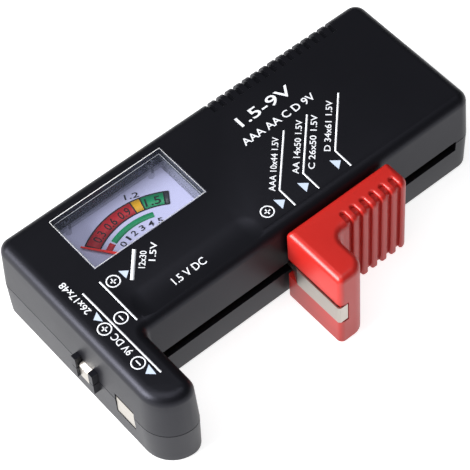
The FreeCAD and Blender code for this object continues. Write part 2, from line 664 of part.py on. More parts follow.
def make_wires():
    routes = {
        "wire_arm": [(8.6, -6.7), (8.6, 13.8), (64, 13.8), (64, 18)],
        "wire_nine_minus": [(3.75, -5.4), (6.4, -5.4), (6.4, 20), (60, 20)],
        "wire_nine_plus": [(3.6, 9.75), (3.6, 24), (55.3, 24)],
        "wire_rail": [(92, 5.8), (92, 18), (84, 18)],
        "wire_meter_low": [(45.3, 10.5), (70, 10.5), (70, 18)],
        "wire_meter_high": [(45.3, 17), (58, 17)],
    }
    for label, points in routes.items():
        make_wire(label, points, 3.4)


make_front_case()
make_rear_case()
make_case_screws()
make_case_contacts()
make_contact_rail()
make_slider_grip()
make_slider_inside()
make_slider_contact()
make_meter_case()
make_meter_magnet()
make_moving_coil()
make_pointer()
make_circuit()
make_wires()
doc.recompute()

NODES = [
    "front_case", "rear_case", "case_screws", "nine_volt_plus", "nine_volt_minus", "arm_contact",
    "contact_rail", "slider_grip", "slider_keeper", "slider_screws", "slider_wiper",
    "slider_contact", "meter_base", "meter_terminals", "meter_cover", "dial_plate", "meter_yoke",
    "meter_magnet", "meter_bridge", "meter_foot", "upper_bearing", "lower_bearing", "coil_frame",
    "coil_winding", "pointer_pivots", "hairspring_lower", "hairspring_upper", "pointer",
    "balance_weight", "terminal_board", "board_screws", "cell_load_resistor",
    "block_load_resistor", "meter_resistor", "wire_nine_plus", "wire_nine_minus", "wire_arm",
    "wire_rail", "wire_meter_low", "wire_meter_high",
]
for obj in doc.Objects:
    if "Invalid" in obj.State or "Error" in obj.State:
        raise RuntimeError("%s did not build: %s" % (obj.Label, obj.State))
os.makedirs("parts", exist_ok=True)
for name in NODES:
    shape = doc.getObjectsByLabel(name)[0].Shape
    if shape.isNull() or not shape.isValid() or not shape.Solids:
        raise RuntimeError(name + " is not a valid solid")
    shape.exportStep("parts/%s.step" % name)
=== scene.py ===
import math

import bmesh
import bpy
from mathutils import Matrix, Vector


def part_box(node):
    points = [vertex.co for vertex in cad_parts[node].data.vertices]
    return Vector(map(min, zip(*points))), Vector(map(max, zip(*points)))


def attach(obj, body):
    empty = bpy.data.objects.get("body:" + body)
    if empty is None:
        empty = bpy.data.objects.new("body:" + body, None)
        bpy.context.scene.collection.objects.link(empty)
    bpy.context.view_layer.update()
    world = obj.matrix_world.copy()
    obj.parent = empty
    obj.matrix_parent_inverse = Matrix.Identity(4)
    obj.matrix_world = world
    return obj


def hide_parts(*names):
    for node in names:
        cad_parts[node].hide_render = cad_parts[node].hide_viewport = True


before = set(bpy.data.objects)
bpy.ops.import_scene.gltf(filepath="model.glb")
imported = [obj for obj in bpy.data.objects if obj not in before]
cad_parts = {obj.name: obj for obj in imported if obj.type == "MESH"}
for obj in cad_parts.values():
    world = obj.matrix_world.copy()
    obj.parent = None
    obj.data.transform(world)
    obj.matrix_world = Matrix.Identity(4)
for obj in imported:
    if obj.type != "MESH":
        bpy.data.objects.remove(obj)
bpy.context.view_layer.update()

# ---- Camera -------------------------------------------------------------------------
# A long lens held above the arm end, looking down across the body at 54 degrees.
CAMERA_AT = Vector((-0.1782, -0.2335, 0.4163))
CAMERA_AHEAD = Vector((0.3444, 0.4739, -0.8105))
CAMERA_UP = Vector((0.5416, 0.6049, 0.5838))
CAMERA_LENS_MM = 165.5
SENSOR_MM = 36.0

ahead = CAMERA_AHEAD.normalized()
side = ahead.cross(CAMERA_UP).normalized()
turn = Matrix((side, side.cross(ahead), -ahead)).transposed().to_4x4()
camera = bpy.data.objects.new("camera", bpy.data.cameras.new("camera"))
camera.data.sensor_width = SENSOR_MM
camera.data.lens = CAMERA_LENS_MM
camera.matrix_world = Matrix.Translation(CAMERA_AT) @ turn
bpy.context.scene.collection.objects.link(camera)
bpy.context.scene.camera = camera

# ---- Case halves --------------------------------------------------------------------
# Two injection-moulded ABS shells, black through and through, screwed together from the
# back. The tool is spark-eroded, which leaves a fine even grain and a soft sheen. The real
# grain is about 0.1 mm and is drawn coarser here, so that it shows.
CASE_BLACK = "#0d0d10"
CASE_GRAIN_MM = 0.24
CASE_FLOW_MM = 16.0
INK_THICK_MM = 0.03
SAME_POINT_M = 2e-6
FLAT_TOP_M = 1e-5
SOFT_EDGE_DEG = 28


def linear(hex_colour):
    """sRGB hex to linear RGBA."""
    parts = [int(hex_colour[i:i + 2], 16) / 255 for i in (1, 3, 5)]
    return [p / 12.92 if p <= 0.04045 else ((p + 0.055) / 1.055) ** 2.4 for p in parts] + [1.0]


def add(tree, kind, links=None, **settings):
    """Adds a node; settings are properties or inputs (_ stands for a space), links feed inputs."""
    made = tree.nodes.new(kind)
    for key, value in settings.items():
        if hasattr(made, key):
            setattr(made, key, value)
        else:
            made.inputs[key.replace("_", " ")].default_value = value
    for key, source in (links or {}).items():
        tree.links.new(source, made.inputs[key])
    return made


def finish_named(name, colour, roughness, **settings):
    """New material: returns it, its tree and its Principled shader."""
    material = bpy.data.materials.new(name)
    material.use_nodes = True
    tree = material.node_tree
    shader = tree.nodes["Principled BSDF"]
    shader.inputs["Base Color"].default_value = linear(colour)
    shader.inputs["Roughness"].default_value = roughness
    for key, value in settings.items():
        shader.inputs[key.replace("_", " ")].default_value = value
    return material, tree, shader


def grain(tree, shader, size_mm, depth_mm, strength, flow_mm=0.0, rough=(0.0, 1.0), stretch=None):
    """Even grain as bump, with slow gloss changes from the way the piece was formed."""
    place = add(tree, "ShaderNodeTexCoord").outputs["Object"]
    if stretch:
        place = add(tree, "ShaderNodeMapping", {"Vector": place}, Scale=stretch).outputs["Vector"]
    fine = add(tree, "ShaderNodeTexNoise", {"Vector": place}, Scale=1000.0 / size_mm, Detail=2.0,
               Roughness=0.6)
    bump = add(tree, "ShaderNodeBump", {"Height": fine.outputs["Fac"]}, Strength=strength,
               Distance=depth_mm / 1000.0)
    tree.links.new(bump.outputs["Normal"], shader.inputs["Normal"])
    if flow_mm:
        slow = add(tree, "ShaderNodeTexNoise", {"Vector": place}, Scale=1000.0 / flow_mm,
                   Detail=3.0, Roughness=0.55)
        gloss = add(tree, "ShaderNodeMapRange", {"Value": slow.outputs["Fac"]},
                    To_Min=rough[0], To_Max=rough[1])
        tree.links.new(gloss.outputs["Result"], shader.inputs["Roughness"])


def piece_of(name, mesh, body):
    """Puts a finished mesh on its body as a named piece."""
    piece = bpy.data.objects.new(name, mesh)
    bpy.context.scene.collection.objects.link(piece)
    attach(piece, body)
    return piece


def smoothed(node_name, material, body, sink_mm=0.0):
    """A moulded piece as it leaves the tool: the CAD shape with its points merged and soft
    normals across its curves. sink_mm lowers its flat top, for ink to lie on it."""
    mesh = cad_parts[node_name].data.copy()
    form = bmesh.new()
    form.from_mesh(mesh)
    bmesh.ops.remove_doubles(form, verts=form.verts, dist=SAME_POINT_M)
    top = max(v.co.z for v in form.verts)
    for v in form.verts:
        if v.co.z > top - FLAT_TOP_M:
            v.co.z -= sink_mm / 1000.0
    soft = math.radians(SOFT_EDGE_DEG)
    for edge in form.edges:
        edge.smooth = len(edge.link_faces) == 2 and edge.calc_face_angle(0.0) < soft
    for face in form.faces:
        face.smooth = True
    form.to_mesh(mesh)
    form.free()
    mesh.materials.clear()
    mesh.materials.append(material)
    piece = piece_of(node_name + "_skin", mesh, body)
    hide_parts(node_name)
    return piece


# The eroded grain breaks the gloss into a soft sheen, faintly blue where it faces the lamp.
case_black, tree, shader = finish_named("moulded ABS, black, eroded grain", CASE_BLACK, 0.42,
                                        IOR=1.53, Specular_IOR_Level=0.33,
                                        Specular_Tint=linear("#d6d7ec"))
grain(tree, shader, CASE_GRAIN_MM, 0.02, 0.35, CASE_FLOW_MM, (0.36, 0.46))
smoothed("front_case", case_black, "case", sink_mm=INK_THICK_MM)
smoothed("rear_case", case_black, "case")

# ---- Signs on the face --------------------------------------------------------------
# One colour of pad-printed ink, a matt white a few hundredths of a millimetre thick: which
# way round each cell goes, its size and its voltage. The small arrows are a paler blue.
SIGN_LINE_MM = 0.46
RING_LINE_MM = 0.34
BAR_MM = 0.9
# Strokes are thickened by a share of the letter's height, as ink spreads under the pad.
STROKE_SWELL, LETTER_HALF, CURVE_STEPS = 0.007, 0.5, 3
SWEPT_SAME_POINT_M, LETTER_SAME_POINT_M = 1e-8, 1e-7
RING_MM, STROKE_HALF_MM, RING_STEPS = 1.55, 0.8, 40
FACE_MM = 25.0
TROUGH_MIDDLE_MM, TROUGH_DEPTH_MM, TROUGH_CURVE_MM = 5.6, 0.75, 14.0
TROUGH_ENDS_MM = (17.0, 44.5)
DIAL_LEFT_MM, DIAL_LOW_MM = 13.5, 20.5
corner = Vector(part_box("dial_plate")[0]) - Vector((DIAL_LEFT_MM, DIAL_LOW_MM, 0.0)) / 1000.0


def at(along, across, height):
    """Millimetres from the case's near corner to the row frame in metres."""
    return Vector((corner.x + along / 1000.0, corner.y + across / 1000.0, height / 1000.0))


def face_height(along, across):
    """Top of the ink: flush with the face, or following the trough with its rounded ends."""
    past = max(TROUGH_ENDS_MM[0] - along, along - TROUGH_ENDS_MM[1], 0.0)
    deep = TROUGH_CURVE_MM ** 2 - (across - TROUGH_MIDDLE_MM) ** 2 - past ** 2
    trough = FACE_MM - TROUGH_DEPTH_MM + TROUGH_CURVE_MM - math.sqrt(max(deep, 0.0))
    return min(trough + INK_THICK_MM, FACE_MM)


def node_group(name, inputs, output):
    """Empty geometry tree with its named inputs and its output, and the input sockets."""
    tree = bpy.data.node_groups.new(name, "GeometryNodeTree")
    sockets = {label: tree.interface.new_socket(label, in_out="INPUT",
                                                socket_type="NodeSocket" + kind)
               for label, kind in inputs.items()}
    tree.interface.new_socket(output, in_out="OUTPUT", socket_type="NodeSocketGeometry")
    return tree, sockets


def grown(name, seed_mesh, tree, sockets, values, body):
    """Runs a node tree on a seed mesh and keeps the result as a plain mesh."""
    seed = bpy.data.objects.new(name, seed_mesh)
    bpy.context.scene.collection.objects.link(seed)
    made = seed.modifiers.new("nodes", "NODES")
    made.node_group = tree
    for label, value in values.items():
        made[sockets[label].identifier] = value
    seen = seed.evaluated_get(bpy.context.evaluated_depsgraph_get())
    mesh = bpy.data.meshes.new_from_object(seen)
    seed.modifiers.clear()
    form = bmesh.new()
    form.from_mesh(mesh)
    bmesh.ops.remove_doubles(form, verts=form.verts, dist=SWEPT_SAME_POINT_M)
    bmesh.ops.recalc_face_normals(form, faces=form.faces)
    form.to_mesh(mesh)
    form.free()
    seed.data = mesh
    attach(seed, body)
    return seed


def outward_mesh(form, name, material):
    """Turns a closed form into a mesh of one material with its faces outward."""
    bmesh.ops.recalc_face_normals(form, faces=form.faces)
    mesh = bpy.data.meshes.new(name)
    form.to_mesh(mesh)
    form.free()
    mesh.materials.clear()
    mesh.materials.append(material)
    return mesh


def paths_mesh(name, paths, height):
    """Edges along each path of (along, across) millimetres; a path that ends where it
    starts is closed."""
    verts, edges = [], []
    for path in paths:
        first = len(verts)
        closed = path[0] == path[-1]
        points = path[:-1] if closed else path
        verts += [at(x, y, height(x, y)) for x, y in points]
        edges += [(first + i, first + i + 1) for i in range(len(points) - 1)]
        if closed:
            edges.append((len(verts) - 1, first))
    mesh = bpy.data.meshes.new(name)
    mesh.from_pydata(verts, edges, [])
    return mesh


def solid_piece(name, outlines, top, thick_mm, material, body):
    """Closed flat shapes of ink from convex outlines of (along, across) millimetres."""
    form = bmesh.new()
    for outline in outlines:
        low = [form.verts.new(at(x, y, top(x, y) - thick_mm)) for x, y in outline]
        high = [form.verts.new(at(x, y, top(x, y))) for x, y in outline]
        form.faces.new(high)
        form.faces.new(low[::-1])
        for i in range(len(outline)):
            j = (i + 1) % len(outline)
            form.faces.new((low[i], low[j], high[j], high[i]))
    piece_of(name, outward_mesh(form, name, material), body)


def lettering(name, lines, top, thick_mm, material, body):
    """Figures and unit letters as closed ink; each line is (text, start, end, cap height)."""
    form = bmesh.new()
    for words, start, end, cap in lines:
        curve = bpy.data.curves.new("line", "FONT")
        curve.body = words
        curve.extrude = LETTER_HALF
        curve.offset = STROKE_SWELL
        curve.resolution_u = CURVE_STEPS
        holder = bpy.data.objects.new("line", curve)
        bpy.context.scene.collection.objects.link(holder)
        seen = holder.evaluated_get(bpy.context.evaluated_depsgraph_get())
        mesh = bpy.data.meshes.new_from_object(seen)
        bpy.data.objects.remove(holder)
        low = min(v.co.x for v in mesh.vertices)
        span = max(v.co.x for v in mesh.vertices) - low
        tall = max(v.co.y for v in mesh.vertices)
        run = Vector((end[0] - start[0], end[1] - start[1]))
        rise = Vector((-run.y, run.x)).normalized() * cap
        for v in mesh.vertices:
            spot = Vector(start) + run * ((v.co.x - low) / span) + rise * (v.co.y / tall)
            v.co = at(spot.x, spot.y, top(spot.x, spot.y) - (LETTER_HALF - v.co.z) * thick_mm)
        form.from_mesh(mesh)
        bpy.data.meshes.remove(mesh)
    bmesh.ops.remove_doubles(form, verts=form.verts, dist=LETTER_SAME_POINT_M)
    piece_of(name, outward_mesh(form, name, material), body)


def ring(x, y, radius):
    """Closed circle as a path."""
    turns = [math.tau * i / RING_STEPS for i in range(RING_STEPS)]
    return [(x + radius * math.cos(t), y + radius * math.sin(t)) for t in turns] + [(x + radius, y)]


def ink_middle(x, y):
    """Half way down the ink, where a strip's section is centred."""
    return face_height(x, y) - INK_THICK_MM / 2


# The ink dries matt and slightly rough, so the signs stay evenly bright at every angle.
ink_white, tree, shader = finish_named("pad-printed ink, matt white", "#eef0f5", 0.5, IOR=1.5)
grain(tree, shader, 0.35, 0.008, 0.3)
ink_pale, tree, shader = finish_named("pad-printed ink, pale blue", "#c6d3e6", 0.5, IOR=1.5)
grain(tree, shader, 0.35, 0.008, 0.3)

# A flat strip of ink follows every drawn path.
ink_tree, ink_sockets = node_group(
    "ink_along_path", {"Paths": "Geometry", "Line width": "Float", "Ink thickness": "Float",
                       "Ink": "Material"}, "Strips")
given = add(ink_tree, "NodeGroupInput").outputs
curve = add(ink_tree, "GeometryNodeMeshToCurve", {"Mesh": given["Paths"]})
level = add(ink_tree, "GeometryNodeSetCurveNormal", {"Curve": curve.outputs["Curve"]},
            mode="Z_UP")
section = add(ink_tree, "GeometryNodeCurvePrimitiveQuadrilateral",
              {"Width": given["Line width"], "Height": given["Ink thickness"]})
swept = add(ink_tree, "GeometryNodeCurveToMesh",
            {"Curve": level.outputs["Curve"], "Profile Curve": section.outputs["Curve"]},
            Fill_Caps=True)
real = add(ink_tree, "GeometryNodeRealizeInstances", {"Geometry": swept.outputs["Mesh"]})
inked = add(ink_tree, "GeometryNodeSetMaterial",
            {"Geometry": real.outputs["Geometry"], "Material": given["Ink"]})
add(ink_tree, "NodeGroupOutput", {"Strips": inked.outputs["Geometry"]})


def strip(name, paths, height, wide_mm, thick_mm, ink):
    """Strips of one width along the paths, lying on the case."""
    grown(name, paths_mesh(name, paths, height), ink_tree, ink_sockets,
          {"Line width": wide_mm / 1000, "Ink thickness": thick_mm / 1000, "Ink": ink},
          "case")


# One cranked line stands where the jaw comes to for each length of cell.
SHORT_MARK_MM, MIDDLE_MARK_MM, LONG_MARK_MM = 57.8, 64.9, 74.6
cell_marks = (SHORT_MARK_MM, MIDDLE_MARK_MM, LONG_MARK_MM)
sign_lines = [[(7.1, 16.5), (7.3, -10.9)], [(11.8, 16.5), (11.8, 3.1)]]
sign_lines += [[(mark + 12.0, 21.6), (mark + 0.1, 9.2), (mark, 3.6)] for mark in cell_marks]
strip("sign_lines", sign_lines, ink_middle, SIGN_LINE_MM, INK_THICK_MM, ink_white)
strip("sign_bar", [[(23.0, 18.3), (17.5, 12.1)]], ink_middle, BAR_MM, INK_THICK_MM, ink_white)

# Rings with a plus or a minus stand beside each pair of contacts.
rings, strokes = [], []
for x, y, plus in ((51.9, 6.4, True), (14.2, 14.6, True), (9.5, 5.8, False),
                   (5.0, 5.9, True), (5.1, -5.8, False)):
    rings.append(ring(x, y, RING_MM))
    level_stroke = [(x - STROKE_HALF_MM, y), (x + STROKE_HALF_MM, y)]
    upright_stroke = [(x, y - STROKE_HALF_MM), (x, y + STROKE_HALF_MM)]
    strokes += [level_stroke, upright_stroke] if plus else [upright_stroke]
strip("pole_rings", rings + strokes, ink_middle, RING_LINE_MM, INK_THICK_MM, ink_white)

# A pale arrow points at each mark, and one more at each end contact and the small-cell bar.
arrows = [[(mark - 2.8, 8.0), (mark - 0.8, 6.3), (mark - 2.8, 4.7)] for mark in cell_marks]
arrows += [[(16.7, 16.0), (18.5, 14.6), (16.8, 13.3)], [(4.6, 9.4), (5.9, 7.7), (6.4, 10.6)],
           [(4.5, -9.0), (6.2, -10.6), (6.5, -7.6)]]
solid_piece("arrows", arrows, face_height, INK_THICK_MM, ink_pale, "case")

lettering("cell_sizes", [
    ("1.5-9V", (63.3, 28.8), (79.1, 28.8), 3.1),
    ("AAA AA C D 9V", (60.3, 24.0), (81.8, 24.0), 2.1),
    ("AAA 10x44 1.5V", (SHORT_MARK_MM - 0.9, 9.6), (SHORT_MARK_MM + 9.8, 20.9), 1.5),
    ("AA 14x50 1.5V", (MIDDLE_MARK_MM - 0.8, 9.8), (MIDDLE_MARK_MM + 10.1, 21.1), 1.5),
    ("C 26x50 1.5V", (MIDDLE_MARK_MM + 2.8, 8.4), (MIDDLE_MARK_MM + 13.7, 19.9), 1.5),
    ("D 34x61 1.5V", (LONG_MARK_MM - 0.8, 9.9), (LONG_MARK_MM + 9.4, 20.8), 1.5),
    ("12x30", (21.6, 12.7), (24.8, 16.1), 1.5),
    ("1.5V", (24.5, 12.7), (28.1, 16.4), 1.5),
    ("1.5 V DC", (24.2, 5.0), (33.3, 5.1), 2.0),
    ("9V DC", (6.2, -2.9), (6.2, 3.4), 1.8),
    ("26x17x48", (5.8, 11.5), (5.8, 21.7), 1.7),
], face_height, INK_THICK_MM, ink_white, "case")

# ---- Slider -------------------------------------------------------------------------
# The red jaw is one ABS moulding, a little softer in sheen than the case, with six rounded
# thumb ribs. It is pushed along the slot by hand.
SLIDER_RED = "#b62019"

# A little light passes into the red plastic, which keeps the shaded ribs warm.
slider_red, tree, shader = finish_named("moulded ABS, signal red", SLIDER_RED, 0.36, IOR=1.53)
shader.inputs["Subsurface Weight"].default_value = 0.05
shader.inputs["Subsurface Radius"].default_value = (0.0012, 0.0003, 0.0002)
grain(tree, shader, 0.3, 0.02, 0.18, 9.0, (0.3, 0.42))
smoothed("slider_grip", slider_red, "slider")

# ---- Contacts and conductors --------------------------------------------------------
# Leaves pressed from spring strip and nickel plated: warm white metal with the faint
# lengthwise lines that rolling leaves. Inside, bare brass strip carries the current.


def coat(material, *node_names):
    """Gives CAD pieces their finish."""
    for name in node_names:
        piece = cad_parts[name]
        piece.data.materials.clear()
        piece.data.materials.append(material)


# Nickel is warm white and softly brushed along its length, so it never mirrors sharply.
nickel, tree, shader = finish_named("nickel plate on rolled strip", "#b7b2aa", 0.38, Metallic=1.0)
grain(tree, shader, 0.3, 0.012, 0.35, 3.0, (0.24, 0.42), stretch=(1.0, 1.0, 3.0))
coat(nickel, "slider_contact", "arm_contact", "nine_volt_plus", "nine_volt_minus")

# Bare brass is yellow and streaked along the rolling direction.
brass, tree, shader = finish_named("rolled brass strip", "#c9a45c", 0.32, Metallic=1.0)
grain(tree, shader, 0.4, 0.01, 0.2, 5.0, (0.26, 0.42), stretch=(0.15, 1.0, 1.0))
coat(brass, "contact_rail", "slider_wiper", "meter_terminals", "meter_bridge", "meter_foot",
     "upper_bearing", "lower_bearing", "balance_weight")

# Drawn bronze ribbon is smooth and redder than the brass round it.
bronze, tree, shader = finish_named("phosphor bronze ribbon", "#b8875a", 0.28, Metallic=1.0)
grain(tree, shader, 0.2, 0.005, 0.2)
coat(bronze, "hairspring_lower", "hairspring_upper")

# Zinc plate is a cool grey with cloudy gloss.
steel, tree, shader = finish_named("zinc-plated steel", "#b9bcc0", 0.33, Metallic=1.0)
grain(tree, shader, 0.25, 0.01, 0.25, 2.5, (0.25, 0.45))
coat(steel, "case_screws", "slider_screws", "board_screws", "pointer_pivots")

# ---- Meter --------------------------------------------------------------------------
# A moving-coil movement in a phenolic tray under a clear polystyrene lid that fills the
# window. Thin bright strips along the lid's edges are painted highlights, standing in for
# the light its moulded edges catch.
WINDOW_MM = (13.0, 45.4, 19.9, 37.4)
STEEP_FACE = 0.7
RIM_INSET_MM, RIM_HEIGHT_MM, RIM_WIDE_MM = 0.28, 24.83, 0.24
INNER_INSET_MM, INNER_HEIGHT_MM, INNER_WIDE_MM = 0.9, 23.78, 0.16
LIGHT_LINE_THICK_MM = 0.04

# The pane is polished and all but disappears; only its reflections show.
pane, tree, shader = finish_named("clear polystyrene, polished pane", "#6d7280", 0.05, IOR=1.59)
shader.inputs["Alpha"].default_value = 0.04
grain(tree, shader, 8.0, 0.05, 0.1)

# The walls keep fine draw marks from the tool. Their grey veil is painted reflection: the same
# clear plastic as the pane, drawn greyer and less clear on its steep faces, stands in for what
# those faces reflect and show of the black case behind them.
wall_painted_reflection, tree, shader = finish_named("clear polystyrene, drawn wall", "#767c8a", 0.18, IOR=1.59)
shader.inputs["Alpha"].default_value = 0.22
grain(tree, shader, 0.7, 0.05, 0.5, 3.0, (0.1, 0.35), stretch=(1.0, 1.0, 0.1))
cover = smoothed("meter_cover", pane, "case")
cover.data.materials.append(wall_painted_reflection)
# Steep faces take the painted grey reflection, flat faces the clear pane.
for face in cover.data.polygons:
    face.material_index = 1 if abs(face.normal.z) < STEEP_FACE else 0

# Painted highlights: a bright strip round the lid's outer rim and a fainter one round the
# inner corner under the pane, standing in for the light the plastic gathers there.
painted_rim_highlight, tree, shader = finish_named("painted highlight, lid rim", "#ffffff", 0.2, IOR=1.59)
shader.inputs["Alpha"].default_value = 0.8
grain(tree, shader, 1.2, 0.02, 0.4)
painted_corner_highlight, tree, shader = finish_named("painted highlight, lid inner corner", "#dfe3ec", 0.25,
                                          IOR=1.59)
shader.inputs["Alpha"].default_value = 0.5
grain(tree, shader, 1.2, 0.02, 0.4)


def frame_path(inset):
    """Closed rectangle inside the window opening."""
    west, east = WINDOW_MM[0] + inset, WINDOW_MM[1] - inset
    south, north = WINDOW_MM[2] + inset, WINDOW_MM[3] - inset
    return [(west, south), (east, south), (east, north), (west, north), (west, south)]


# The two painted highlight strips, laid round the lid's rim and its inner corner.
strip("cover_rim_painted_highlight", [frame_path(RIM_INSET_MM)], lambda x, y: RIM_HEIGHT_MM, RIM_WIDE_MM,
      LIGHT_LINE_THICK_MM, painted_rim_highlight)
strip("cover_inner_corner_painted_highlight", [frame_path(INNER_INSET_MM)], lambda x, y: INNER_HEIGHT_MM,
      INNER_WIDE_MM, LIGHT_LINE_THICK_MM, painted_corner_highlight)

# Moulded phenolic is a duller, browner black than the case.
phenolic, tree, shader = finish_named("moulded phenolic, black", "#18181a", 0.5, IOR=1.6)
grain(tree, shader, 0.3, 0.02, 0.25, 6.0, (0.42, 0.58))
coat(phenolic, "meter_base", "slider_keeper")

# Soft iron is turned and left bright, a darker grey than the plating.
iron, tree, shader = finish_named("bright soft iron", "#8f8d8a", 0.38, Metallic=1.0)
grain(tree, shader, 0.5, 0.02, 0.3, 3.0, (0.3, 0.5), stretch=(1.0, 1.0, 0.2))
coat(iron, "meter_yoke")

# The magnet alloy is cast and only ground, so it is rough and mottled.
magnet_alloy, tree, shader = finish_named("cast magnet alloy", "#6f6d6b", 0.52, Metallic=1.0)
grain(tree, shader, 0.4, 0.05, 0.5, 2.0, (0.42, 0.62))
coat(magnet_alloy, "meter_magnet")

# The thin aluminium former is pale and satin.
former, tree, shader = finish_named("aluminium former", "#c6c8ca", 0.34, Metallic=1.0)
grain(tree, shader, 0.3, 0.01, 0.2)
coat(former, "coil_frame")

# The coil is enamelled copper wire wound side by side round the former. The enamel gives
# the copper its dark orange.
PIVOT_MM = (29.2, 13.1)
POINTER_REST_DEG = 126.6
WIRE_MM, TURNS, TURN_PITCH_MM, TURN_BEND_MM = 0.26, 7, 0.28, 0.4
COIL_HALF_MM, COIL_LOW_MM, COIL_HIGH_MM = 4.02, 6.68, 13.07
WIRE_FACETS, BEND_STEPS = 8, 3
enamel, tree, shader = finish_named("enamelled copper wire", "#b3562a", 0.3, Metallic=1.0)
grain(tree, shader, 0.2, 0.005, 0.2)
coil_tree, coil_sockets = node_group(
    "wound_turns", {"Turn": "Geometry", "Turns": "Int", "Pitch": "Vector",
                    "Wire radius": "Float", "Wire": "Material"}, "Coil")
given = add(coil_tree, "NodeGroupInput").outputs
stations = add(coil_tree, "GeometryNodeMeshLine",
               {"Count": given["Turns"], "Offset": given["Pitch"]})
loops = add(coil_tree, "GeometryNodeInstanceOnPoints",
            {"Points": stations.outputs["Mesh"], "Instance": given["Turn"]})
loose = add(coil_tree, "GeometryNodeRealizeInstances", {"Geometry": loops.outputs["Instances"]})
curves = add(coil_tree, "GeometryNodeMeshToCurve", {"Mesh": loose.outputs["Geometry"]})
section = add(coil_tree, "GeometryNodeCurvePrimitiveCircle", {"Radius": given["Wire radius"]},
              Resolution=WIRE_FACETS)
wound = add(coil_tree, "GeometryNodeCurveToMesh",
            {"Curve": curves.outputs["Curve"], "Profile Curve": section.outputs["Curve"]})
real = add(coil_tree, "GeometryNodeRealizeInstances", {"Geometry": wound.outputs["Mesh"]})
coated = add(coil_tree, "GeometryNodeSetMaterial",
             {"Geometry": real.outputs["Geometry"], "Material": given["Wire"]})
add(coil_tree, "NodeGroupOutput", {"Coil": coated.outputs["Geometry"]})

# One turn is a tall rectangle with bent corners, upright in the coil's own plane.
turn_points = []
for side_sign, level_sign, start_deg in ((1, 1, 0), (-1, 1, 90), (-1, -1, 180), (1, -1, 270)):
    for step in range(BEND_STEPS + 1):
        angle = math.radians(start_deg + 90 * step / BEND_STEPS)
        across = side_sign * (COIL_HALF_MM - TURN_BEND_MM) + TURN_BEND_MM * math.cos(angle)
        centre = COIL_HIGH_MM - TURN_BEND_MM if level_sign > 0 else COIL_LOW_MM + TURN_BEND_MM
        turn_points.append((-(TURNS - 1) * TURN_PITCH_MM / 2, across,
                            centre + TURN_BEND_MM * math.sin(angle)))
mesh = bpy.data.meshes.new("turn")
mesh.from_pydata([Vector(p) / 1000.0 for p in turn_points],
                 [(i, (i + 1) % len(turn_points)) for i in range(len(turn_points))], [])
winding = grown("coil_turns", mesh, coil_tree, coil_sockets,
                {"Turns": TURNS, "Pitch": (TURN_PITCH_MM / 1000, 0.0, 0.0),
                 "Wire radius": WIRE_MM / 2000, "Wire": enamel}, "pointer")
to_rest = Matrix.Rotation(math.radians(POINTER_REST_DEG - 90), 4, "Z")
winding.data.transform(Matrix.Translation(at(*PIVOT_MM, 0)) @ to_rest)
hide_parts("coil_winding")

# ---- Dial and pointer ---------------------------------------------------------------
# Card printed in flat colours: a ring of zones for ordinary cells with a shorter one inside
# it for small cells. The pointer is a thin aluminium blade sprayed red.
DIAL_MM = 18.5
ARC_MIDDLE_MM = (29.2, 11.5)
PRINT_MM = 0.04
OUTLINE_MM, OUTLINE_THICK_MM, OUTLINE_RISE_MM = 0.32, 0.04, 0.06
FIGURE_THICK_MM, FIGURE_RISE_MM = 0.05, 0.09
ZONE_MM, ZONE_WIDE_MM = 20.35, 3.5
ZONE_INNER_MM, ZONE_OUTER_MM = 18.5, 22.2
SMALL_MM, SMALL_WIDE_MM = 16.5, 1.55
RED_DEG, AMBER_DEG, GREEN_DEG, DARK_DEG, END_DEG = 121.7, 80.9, 74.4, 59.3, 56.4
FIGURES_MM, SMALL_FIGURES_MM = 19.2, 13.6
ARC_STEP_DEG = 1.5


def arc(radius, start_deg, end_deg):
    """Path round the dial's middle; the angles count from the x axis."""
    steps = max(2, int(abs(end_deg - start_deg) / ARC_STEP_DEG))
    angles = [math.radians(start_deg + (end_deg - start_deg) * i / steps) for i in range(steps + 1)]
    return [(ARC_MIDDLE_MM[0] + radius * math.cos(a), ARC_MIDDLE_MM[1] + radius * math.sin(a))
            for a in angles]


# The card is matt and tinted, so it stays lilac even under the lamp.
card, tree, shader = finish_named("dial card, matt lavender white", "#bdbfe4", 0.6, IOR=1.5)
grain(tree, shader, 0.5, 0.01, 0.15, 8.0, (0.55, 0.68))
coat(card, "dial_plate")

# Flat inks with a little gloss left by the press.
dial_inks = {}
for name, colour in (("red", "#b3222b"), ("amber", "#d9a521"), ("green", "#14875a"),
                     ("dark", "#3a3c44"), ("black", "#14151a")):
    dial_inks[name], tree, shader = finish_named("dial ink, " + name, colour, 0.48, IOR=1.5)
    grain(tree, shader, 0.3, 0.006, 0.25, 4.0, (0.42, 0.55))

for name, ink, radius, width, start, end in (
        ("zone_red", "red", ZONE_MM, ZONE_WIDE_MM, RED_DEG, AMBER_DEG),
        ("zone_amber", "amber", ZONE_MM, ZONE_WIDE_MM, AMBER_DEG, GREEN_DEG),
        ("zone_green", "green", ZONE_MM, ZONE_WIDE_MM, GREEN_DEG, DARK_DEG),
        ("zone_end", "dark", ZONE_MM, ZONE_WIDE_MM, DARK_DEG, END_DEG),
        ("small_red", "red", SMALL_MM, SMALL_WIDE_MM, 122.0, 113.0),
        ("small_green", "green", SMALL_MM, SMALL_WIDE_MM, 111.5, 70.0)):
    strip(name, [arc(radius, start, end)], lambda x, y: DIAL_MM + PRINT_MM / 2, width, PRINT_MM,
          dial_inks[ink])
edges = [arc(ZONE_OUTER_MM, RED_DEG, END_DEG), arc(ZONE_INNER_MM, RED_DEG, END_DEG)]
for angle in (RED_DEG + 0.2, RED_DEG - 0.5, AMBER_DEG, GREEN_DEG, DARK_DEG, END_DEG):
    edges.append([arc(r, angle, angle)[0] for r in (ZONE_INNER_MM, ZONE_OUTER_MM)])
strip("zone_outline", edges, lambda x, y: DIAL_MM + OUTLINE_RISE_MM, OUTLINE_MM,
      OUTLINE_THICK_MM, dial_inks["black"])


def chord(radius, start_deg, end_deg):
    """Baseline between two places on an arc."""
    return arc(radius, start_deg, start_deg)[0], arc(radius, end_deg, end_deg)[0]


